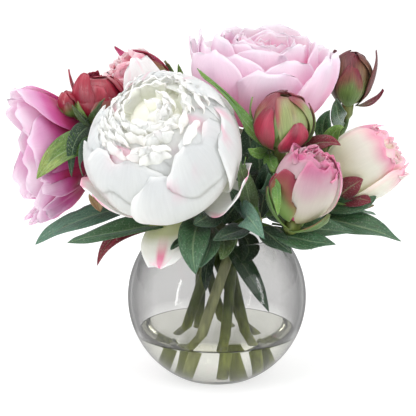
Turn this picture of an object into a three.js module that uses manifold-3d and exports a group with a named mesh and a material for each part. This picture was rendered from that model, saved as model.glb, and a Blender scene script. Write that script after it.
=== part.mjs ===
// Peonies in a round glass vase of water, in millimetres, +Z up.
// The origin is the centre of the vase's foot, on the table. The front faces -Y and +X is to its right.

import * as THREE from "three";
import { ConvexGeometry } from "three/addons/geometries/ConvexGeometry.js";
import { mergeVertices } from "three/addons/utils/BufferGeometryUtils.js";
import Module from "manifold-3d";

const wasm = await Module();
wasm.setup();
const { Manifold } = wasm;

// ---------- Driving dimensions ----------

const vase = { radius: 75, foot: 33, wall: 3, floor: 5, rim: 120.6, sides: 28 };
const water = { top: 39.4, clearance: 0.35, holeClearance: 0.4 };
const lip = { rise: 1.1, halfWidth: 0.7 };
const stem = {
  radius: 4.4, sides: 6, steps: 11, waist: 13, waistHeight: 95, reach: 36, footHeight: 12, rimPass: 126,
};
const branch = { radius: 2.8, sides: 5, steps: 6 };
const calyx = { below: 4.5, taper: 6, over: 2.5, sides: 6 };
const blade = { petal: 0.9, leaf: 0.9, sepal: 1, gap: 0.8 };
const leafFold = 16;
const coreProfile = [[0, -0.06], [0.5, -0.042], [0.97, 0.32], [0.9, 0.74], [0, 1]];
const coreSides = 7;
const globeHeight = Math.sqrt(vase.radius ** 2 - vase.foot ** 2);

const colours = {
  glass: 0xdfe6e4,
  water: 0xe4ece6,
  white: 0xf3f2ee,
  pink: 0xf1cfe2,
  rose: 0xdc8fb8,
  blush: 0xf0d9cf,
  budRed: 0xa8324a,
  budGreen: 0x8f8a5a,
  green: 0x4c7440,
};

// ---------- The flower heads ----------
// A head stands on its stem at `base` and faces along `axis`. `across` and `along` are the half sizes of the
// room it takes, and `core` is the radius and height of its dense middle. Each ring has `count` petals from
// `start` degrees, where 0 is the side nearest the table and the front. A ring is `wide` at its widest radius
// and `tall` to its tips, which lean in by `close` degrees, or out where that is negative. Its petals leave
// the axis at `root`, a radius and a height, and fill the share `cover` of the ring unless `half` gives half
// their width. A `loose` petal stands away from the head, a `point` narrows it to its tip, `frill` waves it.

const heads = {
  white_peony: {
    base: [-36, -15, 170], axis: [-0.15, -0.74, 0.66], across: 64, along: 50, colour: "white", seed: 11,
    core: [42, 80],
    rings: [
      { count: 1, start: 2, wide: 90, tall: 14, close: -50, half: 26, root: [15, -1], loose: true },
      { count: 1, start: 290, wide: 70, tall: 56, close: -4, half: 28, root: [15, -2], loose: true },
      { count: 1, start: 62, wide: 75, tall: 50, close: -10, half: 27, root: [15, -2], loose: true },
      { count: 5, start: 20, wide: 65, tall: 78, close: 18, root: [17, 3] },
      { count: 5, start: 56, wide: 57, tall: 90, close: 36, root: [19, 9] },
      { count: 5, start: 10, wide: 49, tall: 97, close: 50, root: [24, 16] },
      { count: 4, start: 40, wide: 31, tall: 98, close: 36, cover: 0.66, root: [22, 58], frill: 1.5 },
    ],
  },
  pink_peony_top: {
    base: [37, 38, 208], axis: [0.05, -0.16, 0.98], across: 60, along: 38, colour: "pink", seed: 23,
    core: [38, 54],
    rings: [
      { count: 6, start: 0, wide: 60, tall: 62, close: 2, root: [15, 2] },
      { count: 6, start: 30, wide: 52, tall: 70, close: 14, root: [17, 8] },
      { count: 5, start: 8, wide: 44, tall: 75, close: 24, cover: 0.9, root: [22, 15] },
      { count: 3, start: 50, wide: 24, tall: 72, close: 18, cover: 0.56, root: [14, 38], frill: 1.5 },
    ],
  },
  pink_peony_left: {
    base: [-102, 24, 191], axis: [-0.95, -0.24, -0.1], across: 58, along: 37, colour: "rose", seed: 37,
    core: [22, 34],
    rings: [
      { count: 6, start: 15, wide: 60, tall: 68, close: -10, root: [8, 2] },
      { count: 5, start: 42, wide: 48, tall: 69, close: -4, cover: 0.91, root: [9, 7] },
      { count: 4, start: 20, wide: 33, tall: 62, close: 6, cover: 0.8, root: [11, 13] },
    ],
  },
  red_bud_left: {
    base: [-97, 8, 215], axis: [-0.02, -0.1, 0.98], across: 22, along: 20, colour: "budRed", seed: 41,
    core: [18.5, 36],
    rings: [
      { count: 5, start: 10, wide: 22, tall: 38, close: 42, root: [7, 2], point: 0.4 },
      {
        count: 1, start: 262, wide: 24.5, tall: 43, close: -4,
        half: 8, root: [7, 0], loose: true, point: 0.9,
      },
    ],
  },
  opening_bud_left: {
    base: [-43, 56, 222], axis: [-0.74, -0.16, 0.64], across: 23, along: 30, colour: "blush", seed: 43,
    core: [15, 48],
    rings: [
      { count: 4, start: 0, wide: 23, tall: 56, close: 14, root: [6, 1] },
      { count: 4, start: 40, wide: 19, tall: 58, close: 20, root: [6, 6] },
    ],
  },
  centre_bud: {
    base: [50, -37, 200], axis: [0.08, -0.28, 0.95], across: 23, along: 25, colour: "budGreen", seed: 47,
    core: [19.5, 44],
    rings: [
      { count: 5, start: 25, wide: 23.5, tall: 46, close: 38, root: [7, 2], point: 0.4 },
      {
        count: 1, start: 266, wide: 26.5, tall: 44, close: 8,
        half: 9, root: [7, 0], point: 0.8, loose: true,
      },
    ],
  },
  right_bud: {
    base: [113, 58, 222], axis: [0.08, -0.1, 0.98], across: 21, along: 25, colour: "budGreen", seed: 53,
    core: [17, 43],
    rings: [
      { count: 5, start: 10, wide: 20.5, tall: 46, close: 34, root: [7, 2], point: 0.4 },
      { count: 1, start: 92, wide: 30, tall: 16, close: -16, half: 7, root: [7, 0], point: 0.9, loose: true },
    ],
  },
  pink_bud: {
    base: [61, -59, 145], axis: [0.28, -0.26, 0.92], across: 25, along: 31, colour: "pink", seed: 59,
    core: [17, 52],
    rings: [
      { count: 4, start: 12, wide: 25, tall: 59, close: 24, root: [6, 1] },
      { count: 4, start: 58, wide: 21, tall: 62, close: 28, root: [6, 6] },
    ],
  },
  blush_bud: {
    base: [90, -6, 162], axis: [0.83, -0.14, 0.54], across: 30, along: 35, colour: "blush", seed: 61,
    core: [21, 56],
    rings: [
      { count: 5, start: 30, wide: 30, tall: 64, close: 24, root: [7, 1] },
      { count: 4, start: 62, wide: 25.5, tall: 66, close: 26, root: [7, 6] },
    ],
  },
  back_peony: {
    base: [-29, 58, 156], axis: [-0.1, 0.86, 0.5], across: 53, along: 42, colour: "white", seed: 67,
    core: [34, 68],
    rings: [
      { count: 5, start: 0, wide: 53, tall: 66, close: 14, root: [14, 3] },
      { count: 5, start: 34, wide: 46.5, tall: 77, close: 34, root: [16, 9] },
      { count: 4, start: 10, wide: 40, tall: 83, close: 46, cover: 0.83, root: [20, 15] },
    ],
  },
  back_blush_bud: {
    base: [50, 62, 148], axis: [0.36, 0.78, 0.5], across: 27, along: 33, colour: "blush", seed: 71,
    core: [18, 54],
    rings: [
      { count: 4, start: 0, wide: 27, tall: 62, close: 22, root: [6, 1] },
      { count: 4, start: 40, wide: 22.5, tall: 64, close: 26, root: [6, 6] },
    ],
  },
};

// ---------- The leafy stems ----------
// Every stem runs straight from the vase's floor past its neighbours at the waist, in the direction `slot`,
// then bends through `via` to its head. A branch leaves it at a share `at` of its length. A leaf leaves the
// stem, or the branch numbered `on`, at `at`, bends through `via` to its `tip`, is 2 x `half` wide and shows
// its face towards `face`. `sepals` are one more ring, below the head.

const stems = {
  stem_white_peony: {
    slot: 229, head: "white_peony", via: [[-20, -14, 148]],
    sepals: { count: 4, start: 30, wide: 40, tall: -2, close: -66, half: 14 },
    leaves: [
      { at: 0.6, via: [-84, -44, 132], tip: [-119, -60, 127], half: 12, face: [0, -0.5, 1] },
      { at: 0.56, via: [-88, -30, 146], tip: [-97, -46, 109], half: 5, face: [0, -1, 0.3] },
      { at: 0.6, via: [-24, -76, 138], tip: [-17, -86, 108], half: 13, face: [0, -1, 0.5] },
      { at: 0.5, via: [26, -38, 100], tip: [41, -50, 68], half: 8, face: [0.3, -1, 0.3] },
    ],
  },
  stem_pink_bud: {
    slot: 300, head: "pink_bud", via: [[34, -34, 134]],
    sepals: { count: 3, start: 30, wide: 30, tall: 24, close: -8, half: 12 },
    branches: [{ at: 0.66, via: [[36, -34, 160]], head: "centre_bud" }],
    leaves: [
      { at: 0.62, via: [14, -82, 168], tip: [36, -90, 137], half: 11, face: [-0.3, -1, 0.2] },
      { at: 0.7, via: [62, -76, 131], tip: [90, -78, 130], half: 10, face: [0, -0.7, 1] },
      { on: 0, at: 0.72, via: [16, -72, 229], tip: [-16, -46, 264], half: 6.5, face: [0.5, -1, 0.2] },
      { on: 0, at: 0.55, via: [46, -94, 186], tip: [46, -92, 156], half: 5, face: [-0.4, -1, 0] },
    ],
  },
  stem_blush_bud: {
    slot: 345, head: "blush_bud", via: [[58, -8, 146]],
    sepals: { count: 3, start: 10, wide: 36, tall: 28, close: -10, half: 14 },
    branches: [{ at: 0.72, via: [[84, 26, 172], [106, 48, 198]], head: "right_bud" }],
    leaves: [
      { at: 0.6, via: [106, -44, 143], tip: [147, -50, 126], half: 15, face: [0, -0.5, 1] },
      { at: 0.72, via: [112, -40, 150], tip: [128, -36, 160], half: 10, face: [0, -1, 0.6] },
      { on: 0, at: 0.7, via: [98, 4, 214], tip: [99, 8, 234], half: 8, face: [0, -1, 0.2] },
    ],
  },
  stem_pink_peony_top: {
    slot: 36, head: "pink_peony_top", via: [[30, 18, 160]],
    sepals: { count: 4, start: 0, wide: 38, tall: -1, close: -66, half: 13 },
    leaves: [
      { at: 0.55, via: [104, 30, 138], tip: [138, 44, 128], half: 14, face: [0, 0, 1] },
    ],
  },
  stem_back_peony: {
    slot: 88, head: "back_peony", via: [[-12, 34, 140]],
    sepals: { count: 3, start: 0, wide: 36, tall: -1, close: -66, half: 13 },
    branches: [
      {
        at: 0.62, via: [[26, 46, 136]], head: "back_blush_bud",
        sepals: { count: 2, start: 30, wide: 32, tall: 26, close: -8, half: 13 },
      },
    ],
    leaves: [
      { on: 0, at: 0.4, via: [64, 74, 128], tip: [84, 104, 118], half: 13, face: [0, 0.3, 1] },
      { at: 0.66, via: [-8, 80, 122], tip: [-4, 108, 100], half: 13, face: [0, 0.8, 0.8] },
    ],
  },
  stem_opening_bud: {
    slot: 139, head: "opening_bud_left", via: [[-24, 30, 150], [-28, 44, 196]],
    sepals: { count: 2, start: 150, wide: 28, tall: 26, close: -8, half: 12 },
    leaves: [
      { at: 0.5, via: [-62, 66, 136], tip: [-92, 86, 122], half: 14, face: [0, 0.3, 1] },
      { at: 0.76, via: [-58, 82, 200], tip: [-94, 80, 204], half: 10, face: [0, 0.6, 1] },
    ],
  },
  stem_pink_peony_left: {
    slot: 186, head: "pink_peony_left", via: [[-46, 16, 146]],
    sepals: { count: 3, start: 10, wide: 34, tall: 0, close: -66, half: 13 },
    branches: [{ at: 0.72, via: [[-76, 8, 176], [-90, 10, 196]], head: "red_bud_left" }],
    leaves: [
      { at: 0.66, via: [-110, -34, 148], tip: [-146, -48, 123], half: 13, face: [0, -0.6, 1] },
      { on: 0, at: 0.6, via: [-124, -46, 207], tip: [-143, -52, 177], half: 13, face: [-0.2, -1, 0.2] },
      { on: 0, at: 0.66, via: [-104, -52, 205], tip: [-106, -54, 180], half: 7, face: [0.2, -1, 0] },
    ],
  },
};

// ---------- Small tools ----------

const vector = (xyz) => new THREE.Vector3(...xyz);
const radians = THREE.MathUtils.degToRad;
const clamp = THREE.MathUtils.clamp;

// Even draws from 0 to 1, the same on every run.
function makeDraw(seed) {
  let state = seed >>> 0;
  return () => {
    state = (Math.imul(state, 1664525) + 1013904223) >>> 0;
    return state / 2 ** 32;
  };
}

// A closed geometry as a solid that can be joined and cut.
function solidOf(geometry) {
  const bare = new THREE.BufferGeometry().setAttribute("position", geometry.getAttribute("position"));
  bare.setIndex(geometry.index);
  const merged = mergeVertices(bare, 1e-4);
  return new Manifold(
    new wasm.Mesh({
      numProp: 3,
      vertProperties: merged.attributes.position.array,
      triVerts: new Uint32Array(merged.index.array),
    }),
  );
}

const joined = (geometries) => Manifold.union(geometries.map(solidOf));

function geometryOf(solid) {
  const mesh = solid.getMesh();
  const geometry = new THREE.BufferGeometry();
  geometry.setAttribute("position", new THREE.BufferAttribute(new Float32Array(mesh.vertProperties), 3));
  geometry.setIndex(new THREE.BufferAttribute(new Uint32Array(mesh.triVerts), 1));
  geometry.computeVertexNormals();
  return geometry;
}

function namedMesh(name, solid, colour, look) {
  const material = new THREE.MeshStandardMaterial({ color: colours[colour], metalness: 0, ...look });
  const mesh = new THREE.Mesh(geometryOf(solid), material);
  mesh.name = name;
  return mesh;
}

// The largest body of a cut solid: what a cut leaves loose is dropped.
function mainBody(solid) {
  const bodies = solid.decompose();
  return bodies.reduce((best, body) => (body.volume() > best.volume() ? body : best), bodies[0]);
}

// Turns a profile of [radius, height] points round the vertical axis.
function turned(profile, sides) {
  const points = profile.map(([r, z]) => new THREE.Vector2(r, z));
  return new THREE.LatheGeometry(points, sides).rotateX(Math.PI / 2);
}

function tube(curve, radius, sides, steps) {
  const corners = Array.from({ length: sides }, (_, i) => {
    const turn = (i / sides) * 2 * Math.PI;
    return new THREE.Vector2(radius * Math.cos(turn), radius * Math.sin(turn));
  });
  return new THREE.ExtrudeGeometry(new THREE.Shape(corners), { steps, extrudePath: curve });
}

// A thin blade about the surface pointAt(u, v), with u from 0 to 1 and v from -1 to 1. Both faces are split
// into the same triangles.
function bladeGeometry(pointAt, [lengthwise, crosswise], thickness) {
  const front = [];
  const back = [];
  const small = 1e-3;
  for (let i = 0; i <= lengthwise; i++)
    for (let j = 0; j <= crosswise; j++) {
      const u = clamp(i / lengthwise, small, 1 - small);
      const v = clamp((2 * j) / crosswise - 1, small - 1, 1 - small);
      const alongU = pointAt(u + small, v).sub(pointAt(u - small, v));
      const alongV = pointAt(u, v + small).sub(pointAt(u, v - small));
      const normal = alongU.cross(alongV).normalize();
      const middle = pointAt(i / lengthwise, (2 * j) / crosswise - 1);
      front.push(middle.clone().addScaledVector(normal, thickness / 2));
      back.push(middle.clone().addScaledVector(normal, -thickness / 2));
    }
  const corner = (i, j) => i * (crosswise + 1) + j;
  const backStart = front.length;
  const faces = [];
  const edges = [];
  for (let i = 0; i < lengthwise; i++)
    for (let j = 0; j < crosswise; j++) {
      const [a, b, c, d] = [corner(i, j), corner(i + 1, j), corner(i + 1, j + 1), corner(i, j + 1)];
      faces.push([a, b, c], [a, c, d]);
      faces.push([a, c, b].map((k) => k + backStart), [a, d, c].map((k) => k + backStart));
      if (j === 0) edges.push([a, b]);
      if (i === lengthwise - 1) edges.push([b, c]);
      if (j === crosswise - 1) edges.push([c, d]);
      if (i === 0) edges.push([d, a]);
    }
  edges.forEach(([a, b]) => faces.push([b, a, a + backStart], [b, a + backStart, b + backStart]));
  const geometry = new THREE.BufferGeometry().setFromPoints([...front, ...back]);
  return geometry.setIndex(faces.flat());
}

// ---------- Petals and heads ----------

const petalShape = {
  cover: 0.95, neck: 0.1, round: 0.2, tilt: 0.085, cup: 0.0006, frill: 0, waves: 2.5, point: 0,
};

// The lean of a ring's petals at root and tip, and their length, from how wide and tall the ring is: each
// petal is an arc that bends at an even rate.
function arcOf({ wide, tall, close, root }) {
  const tip = radians(close);
  const slope = (tall - root[1]) / (wide - root[0]);
  const widest = close > 0 ? 1 : Math.cos(tip);
  const share = (slope * widest - Math.sin(tip)) / Math.hypot(1, slope);
  const lean0 = Math.PI - Math.asin(share) - Math.atan(slope);
  const bend = (tall - root[1]) / (Math.sin(lean0) + Math.sin(tip));
  return { lean0, lean1: -tip, length: bend * (lean0 + tip) };
}

// A petal in its head's own frame, where the axis is +Z. It is part of a bowl turned round the axis, tilted
// so that one edge lies under the next petal, and cupped a little more than the bowl.
function petalPoint(petal, u, v) {
  const reach = u * (1 - petal.round * Math.abs(v) ** 2.4 * u);
  const lean = petal.lean0 + (petal.lean1 - petal.lean0) * reach;
  const bend = petal.length / (petal.lean0 - petal.lean1);
  const widening = petal.neck + (1 - petal.neck) * Math.sin((Math.min(1, reach / 0.7) * Math.PI) / 2) ** 1.2;
  const narrowing = 1 - petal.point * Math.max(0, (reach - 0.4) / 0.6) ** 1.5;
  const across = v * petal.half * widening * narrowing;
  const frill = petal.frill * reach ** 2 * Math.sin(petal.waves * Math.PI * v + petal.phase);
  const lift = petal.tilt * across + petal.cup * across ** 2 * reach + frill;
  const bowl = petal.root[0] + bend * (Math.cos(lean) - Math.cos(petal.lean0));
  const out = bowl - Math.cos(lean) * lift;
  const up = petal.root[1] + bend * (Math.sin(petal.lean0) - Math.sin(lean)) + Math.sin(lean) * lift;
  const turn = petal.turn + across / bowl;
  return new THREE.Vector3(out * Math.cos(turn), out * Math.sin(turn), up);
}

// Every petal of the rings, each a little off its even place.
function petalsOf(rings, seed) {
  const draw = makeDraw(seed);
  const off = (most) => (draw() * 2 - 1) * most;
  return rings.flatMap((ring) => {
    const arc = arcOf(ring);
    const step = 360 / ring.count;
    return Array.from({ length: ring.count }, (_, i) => ({
      ...petalShape,
      half: ((ring.cover ?? petalShape.cover) * Math.PI * ring.wide) / ring.count,
      ...ring,
      ...arc,
      turn: radians(ring.start + i * step + (ring.count > 1 ? off(step * 0.07) : 0)),
      length: arc.length * (1 + off(0.02)),
      phase: draw() * 2 * Math.PI,
    }));
  });
}

// The frame of a head: its first direction is the side nearest the table and the front.
function headFrame(head) {
  const axis = vector(head.axis).normalize();
  const toward = new THREE.Vector3(0, -0.6, -0.8);
  const first = toward.addScaledVector(axis, -toward.dot(axis)).normalize();
  const second = axis.clone().cross(first);
  return new THREE.Matrix4().makeBasis(first, second, axis).setPosition(...head.base);
}

// The dense middle that the petals stand out of. It reaches a little below the head's base.
const coreGeometry = ([radius, height]) =>
  turned(coreProfile.map(([r, h]) => [r * radius, h * height]), coreSides);

// Wide petals are split into more strips.
function petalBlade(petal, thickness) {
  const grid = petal.half > 30 ? [3, 3] : [3, 2];
  return bladeGeometry((u, v) => petalPoint(petal, u, v), grid, thickness);
}

// The smallest convex solid round the geometries, grown by a gap.
function roundAbout(geometries, gap) {
  const points = geometries.flatMap((geometry) => {
    const position = geometry.getAttribute("position");
    const corner = (_, i) => new THREE.Vector3().fromBufferAttribute(position, i);
    return Array.from({ length: position.count }, corner);
  });
  const geometry = new ConvexGeometry(points);
  geometry.computeBoundingBox();
  const middle = geometry.boundingBox.getCenter(new THREE.Vector3());
  const size = geometry.boundingBox.getSize(new THREE.Vector3());
  const scale = size.toArray().map((s) => 1 + (2 * gap) / s);
  return geometry.translate(...middle.clone().negate()).scale(...scale).translate(...middle);
}

// A head's solid in its own frame, and the room that its neighbours leave free.
function buildHead(head) {
  const petals = petalsOf(head.rings, head.seed);
  const close = petals.filter((petal) => !petal.loose).map((petal) => petalBlade(petal, blade.petal));
  const loose = petals.filter((petal) => petal.loose);
  const body = [coreGeometry(head.core), ...close];
  const solid = joined([...body, ...loose.map((petal) => petalBlade(petal, blade.petal))]);
  const room = joined([
    roundAbout(body, blade.gap),
    ...loose.map((petal) =>
      petalBlade({ ...petal, half: petal.half + blade.gap }, blade.petal + 2 * blade.gap),
    ),
  ]);
  return { solid, room };
}

// ---------- Stems and leaves ----------

const curveThrough = (points) => new THREE.CatmullRomCurve3(points, false, "catmullrom", 0.5);

function stemCurve(spec) {
  const slot = radians(spec.slot);
  const across = new THREE.Vector3(Math.cos(slot), Math.sin(slot), 0).multiplyScalar(stem.waist);
  const run = Math.sqrt(stem.reach ** 2 - stem.waist ** 2) / (stem.waistHeight - stem.footHeight);
  const slope = new THREE.Vector3(-Math.sin(slot) * run, Math.cos(slot) * run, 1);
  const atHeight = (z) => across.clone().addScaledVector(slope, z - stem.waistHeight).setZ(z);
  const halfway = (stem.footHeight + stem.waistHeight) / 2;
  const straight = [stem.footHeight, halfway, stem.waistHeight, stem.rimPass].map(atHeight);
  return curveThrough([...straight, ...spec.via.map(vector), ...intoHead(heads[spec.head])]);
}

// A stem meets its head along the head's axis, and ends inside it.
const intoHead = (head) =>
  [-14, 5].map((way) => vector(head.base).addScaledVector(vector(head.axis), way));

const branchCurve = (parent, spec) =>
  curveThrough([parent.getPoint(spec.at), ...spec.via.map(vector), ...intoHead(heads[spec.head])]);

// Moves a point out of the room that the heads take.
function pushClear(point, margin) {
  for (const head of Object.values(heads)) {
    const axis = vector(head.axis).normalize();
    const centre = vector(head.base).addScaledVector(axis, head.along);
    const from = point.clone().sub(centre);
    const along = from.dot(axis);
    const across = from.clone().addScaledVector(axis, -along).length();
    const depth = Math.hypot(along / (head.along + margin), across / (head.across + margin));
    if (depth < 1) point.copy(centre).addScaledVector(from, 1 / Math.max(depth, 0.05));
  }
  return point;
}

// Half the width of a leaf along its length: a narrow stalk, then a long pointed blade.
function leafWidth(u) {
  const along = (u - 0.1) / 0.9;
  return along <= 0 ? 0.1 : Math.max(0.1, Math.sin(Math.PI * along ** 0.8) ** 0.85);
}

function leafPoint(leaf, u, v) {
  const middle = leaf.curve.getPoint(clamp(u, 0, 1));
  const forward = leaf.curve.getTangent(clamp(u, 0, 1));
  const side = forward.clone().cross(vector(leaf.face)).normalize();
  const facing = side.clone().cross(forward).normalize();
  const across = v * leaf.half * leafWidth(u);
  const fold = radians(leafFold);
  const wave = 0.1 * leaf.half * v * Math.sin(2.5 * Math.PI * u) * u;
  const point = middle.addScaledVector(side, across * Math.cos(fold));
  point.addScaledVector(facing, Math.abs(across) * Math.sin(fold) + wave);
  return pushClear(point, 3 * Math.min(1, 3 * u));
}

// A stalk is the stem itself or one of its branches, with the curve it follows and its size.
function stalksOf(spec) {
  const main = { ...spec, curve: stemCurve(spec), size: stem };
  const curveOf = (one) => branchCurve(main.curve, one);
  return [main, ...(spec.branches ?? []).map((one) => ({ ...one, curve: curveOf(one), size: branch }))];
}

const stalkTube = ({ curve, size }, extra) => tube(curve, size.radius + extra, size.sides, size.steps);

function leafBlade(leaf, stalk, extra) {
  const root = stalk.curve.getPoint(leaf.at);
  const curve = new THREE.QuadraticBezierCurve3(root, vector(leaf.via), vector(leaf.tip));
  const grown = { ...leaf, curve, half: leaf.half + extra };
  return bladeGeometry((u, v) => leafPoint(grown, u, v), [5, 2], blade.leaf + 2 * extra);
}

// The swelling at the top of a stalk and the sepals that cup its head.
function calyxPieces({ head: name, sepals, size }, extra) {
  const head = heads[name];
  const frame = headFrame(head);
  const foot = coreProfile[0][1] * head.core[1] - calyx.below;
  const swelling = [[0, foot - calyx.taper - extra], [size.radius + calyx.over + extra, foot], [0, 2]];
  const ring = { ...sepals, half: sepals.half + extra, root: [2, foot], point: 0.75, neck: 0.5 };
  const cup = petalsOf([ring], head.seed + 1).map((sepal) => petalBlade(sepal, blade.sepal + 2 * extra));
  return [turned(swelling, calyx.sides), ...cup].map((piece) => piece.applyMatrix4(frame));
}

// The pieces of a leafy stem, each `extra` mm thicker all round.
function stemPieces(spec, extra) {
  const stalks = stalksOf(spec);
  return [
    ...stalks.map((stalk) => stalkTube(stalk, extra)),
    ...spec.leaves.map((leaf) => leafBlade(leaf, stalks[(leaf.on ?? -1) + 1], extra)),
    ...stalks.filter(({ sepals }) => sepals).flatMap((stalk) => calyxPieces(stalk, extra)),
  ];
}

// ---------- Vase and water ----------

// Points on a sphere about the globe's centre between two heights, as [radius, height].
function globeArc(radius, from, to, steps) {
  const angle = (z) => Math.asin((z - globeHeight) / radius);
  return Array.from({ length: steps + 1 }, (_, i) => {
    const turn = angle(from) + ((angle(to) - angle(from)) * i) / steps;
    return [radius * Math.cos(turn), globeHeight + radius * Math.sin(turn)];
  });
}

function vaseGeometry() {
  const inner = vase.radius - vase.wall;
  const outside = globeArc(vase.radius, 0, vase.rim, 8);
  const above = globeArc(inner, vase.rim, water.top, 5);
  const below = globeArc(inner, water.top, vase.floor, 2).slice(1);
  const lipRadius = (outside.at(-1)[0] + above[0][0]) / 2;
  const lipEdges = [lip.halfWidth, -lip.halfWidth].map((way) => [lipRadius + way, vase.rim + lip.rise]);
  return turned([[0, 0], ...outside, ...lipEdges, ...above, ...below, [0, vase.floor]], vase.sides);
}

function waterSolid(stemCurves) {
  const radius = vase.radius - vase.wall - water.clearance;
  const bottom = vase.floor + water.clearance;
  const body = turned([[0, bottom], ...globeArc(radius, bottom, water.top, 2), [0, water.top]], vase.sides);
  const holes = stemCurves.map((curve) => stalkTube({ curve, size: stem }, water.holeClearance));
  return solidOf(body).subtract(joined(holes));
}

// ---------- The whole arrangement ----------

const arrangement = new THREE.Group();

const clearGlass = { roughness: 0.05, transparent: true, opacity: 0.3 };
arrangement.add(namedMesh("vase", solidOf(vaseGeometry()), "glass", clearGlass));
arrangement.add(namedMesh("water", waterSolid(Object.values(stems).map(stemCurve)), "water", clearGlass));

const taken = [];
for (const [name, head] of Object.entries(heads)) {
  const frame = headFrame(head);
  const { solid, room } = buildHead(head);
  const mesh = namedMesh(name, solid, head.colour, { roughness: 0.75 });
  frame.decompose(mesh.position, mesh.quaternion, mesh.scale);
  arrangement.add(mesh);
  taken.push(room.transform(frame.elements));
}

for (const [name, spec] of Object.entries(stems)) {
  const clear = mainBody(joined(stemPieces(spec, 0)).subtract(Manifold.union(taken)));
  arrangement.add(namedMesh(name, clear, "green", { roughness: 0.6 }));
  taken.push(joined(stemPieces(spec, blade.gap / 2)));
}

export default arrangement;
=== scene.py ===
from math import asin, atan, atan2, cos, degrees, exp, hypot, pi, radians, sin

import bmesh
import bpy
from mathutils import Matrix, Vector, noise


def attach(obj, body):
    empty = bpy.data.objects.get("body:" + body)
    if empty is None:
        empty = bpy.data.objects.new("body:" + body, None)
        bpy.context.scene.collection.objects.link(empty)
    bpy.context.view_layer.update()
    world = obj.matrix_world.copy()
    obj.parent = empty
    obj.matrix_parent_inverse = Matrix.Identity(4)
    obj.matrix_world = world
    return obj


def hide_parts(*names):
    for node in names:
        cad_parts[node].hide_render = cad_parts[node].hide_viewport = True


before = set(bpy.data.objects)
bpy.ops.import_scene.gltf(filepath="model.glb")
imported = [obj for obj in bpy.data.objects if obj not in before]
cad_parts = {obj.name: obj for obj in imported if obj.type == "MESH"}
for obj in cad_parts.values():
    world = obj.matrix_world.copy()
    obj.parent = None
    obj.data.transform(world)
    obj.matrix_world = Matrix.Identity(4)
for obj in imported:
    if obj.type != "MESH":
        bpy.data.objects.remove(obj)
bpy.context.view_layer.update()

# All shapes are worked out in millimetres and written in metres.
mm = 0.001
mergeDistance = 0.01 * mm
goldenAngle = 137.5

# Colours run from root (0) to tip (1).
redSepal = dict(
    stops=((0, "5c7030"), (0.3, "7a3c2c"), (0.6, "8c2034"), (1, "74142a")), edge="b04050", edgeShare=0.4,
)
roseSepal = dict(
    stops=((0, "6c8038"), (0.25, "a04450"), (0.7, "b42c4c"), (1, "8c2038")), edge="d07a86", edgeShare=0.4,
)
darkSepal = dict(stops=((0, "4c4c28"), (0.4, "642c28"), (1, "5c1424")), edge="84403a", edgeShare=0.4)
greenSepal = dict(stops=((0, "5f8a34"), (0.6, "729a48"), (1, "8aa45c")), edge="8c4c40", edgeShare=0.4)
greenRedSepal = dict(
    stops=((0, "5c8034"), (0.45, "6f8c48"), (0.75, "84503c"), (1, "7c2034")), edge="983444", edgeShare=0.6,
)
hangingPetal = dict(
    stops=((0, "76844a"), (0.4, "9aa268"), (0.62, "e2e2d2"), (1, "f8f8f5")),
    stripe=(-0.12, 0.3, "dc2c6c"),  # middle, half width, colour
    stripeFrom=0.42,
)
guardPetal = dict(edgeFrom=0.3, edgeShare=0.9, edge="ee6a94")
heartPetal = dict(stops=((0, "e9ebd6"), (0.4, "f1f1e8"), (1, "f4f4f2")), edgeShare=0.1)
stalkLook = ((0, "b0b858"), (0.1, "929c48"), (0.2, "5c6a2c"), (0.6, "43602a"), (1, "4f7030"))
paleStalk = ((0, "c4cc74"), (0.12, "bcc088"), (0.33, "b0b484"), (0.42, "60783a"), (1, "4f7030"))

# Kinds of petal, as changes to petalShape.
plainPetal = dict()
cupPetal = dict(ruffle=0.9, nick=0.03, fold=0.4, lump=1.5, tilt=0.06, lobe=0.75, stray=0.1)
loosePetal = dict(ruffle=1.3, nick=0.03, fold=1.2, lump=3, neck=0.5, stray=0.25)
broadPetal = dict(ruffle=1.2, nick=0.025, fold=1.0, lump=3, stray=0.08, lobe=0.85, round=0.1)
outerPetal = dict(lump=2.4, ruffle=0.8)
ruffledPetal = dict(ruffle=1.5, nick=0.05, fold=1.2, lump=3, neck=0.55, lobe=0.8, stray=0.45, grid=(12, 14))
budPetal = dict(ruffle=0.2, nick=0.0, fold=0.3, lump=0.7, cup=0.0, lobe=0.5)
openPetal = dict(budPetal, count=4, nick=0.03)
sepalPetal = dict(
    root=(7, 0), point=0.75, lobe=0.2, ruffle=0.25, nick=0.0, fold=0.3, lump=0.8, cup=0.0, grid=(16, 10),
)
calyxSepal = dict(point=0.75, neck=0.5, ruffle=0.25, nick=0.0, fold=0.5, grid=(14, 8))


# A ring of one kind of petal: where the first stands round the head, in degrees from the low front side
# toward the photo's right, the widest radius, the height, and how many degrees the tips lean in past upright.
def ringOf(kind, start, wide, tall, close, **more):
    return dict(kind, start=start, wide=wide, tall=tall, close=close, **more)


# Rings of ruffled petals whose tips lie on a dome, for the middle of a full bloom.
def domeRings(radii, middle, rise, reach, depth, close):
    rings = []
    for i, radius in enumerate(radii):
        tall = middle + rise * (1 - (radius / reach) ** 2) ** 0.5
        root = (max(1.5, radius - 3), tall - depth)
        count = max(3, round(radius / 5))
        rings.append(ringOf(ruffledPetal, 37 * i, radius + 6, tall, close, count=count, root=root))
    return rings


# Ruffled petals over a dome, each turned by the golden angle from the last, so that no rows show.
def strewnPetals(count, spread, middle, rise, reach, depth, close, **more):
    petals = []
    for i in range(count):
        radius = spread * ((count - i - 0.5) / count) ** 0.5
        tall = middle + rise * (1 - (radius / reach) ** 2) ** 0.5
        root = (max(1.5, radius - 4), tall - depth)
        petals.append(ringOf(ruffledPetal, goldenAngle * i, radius + 5, tall, close, root=root, **more))
    return petals


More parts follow.
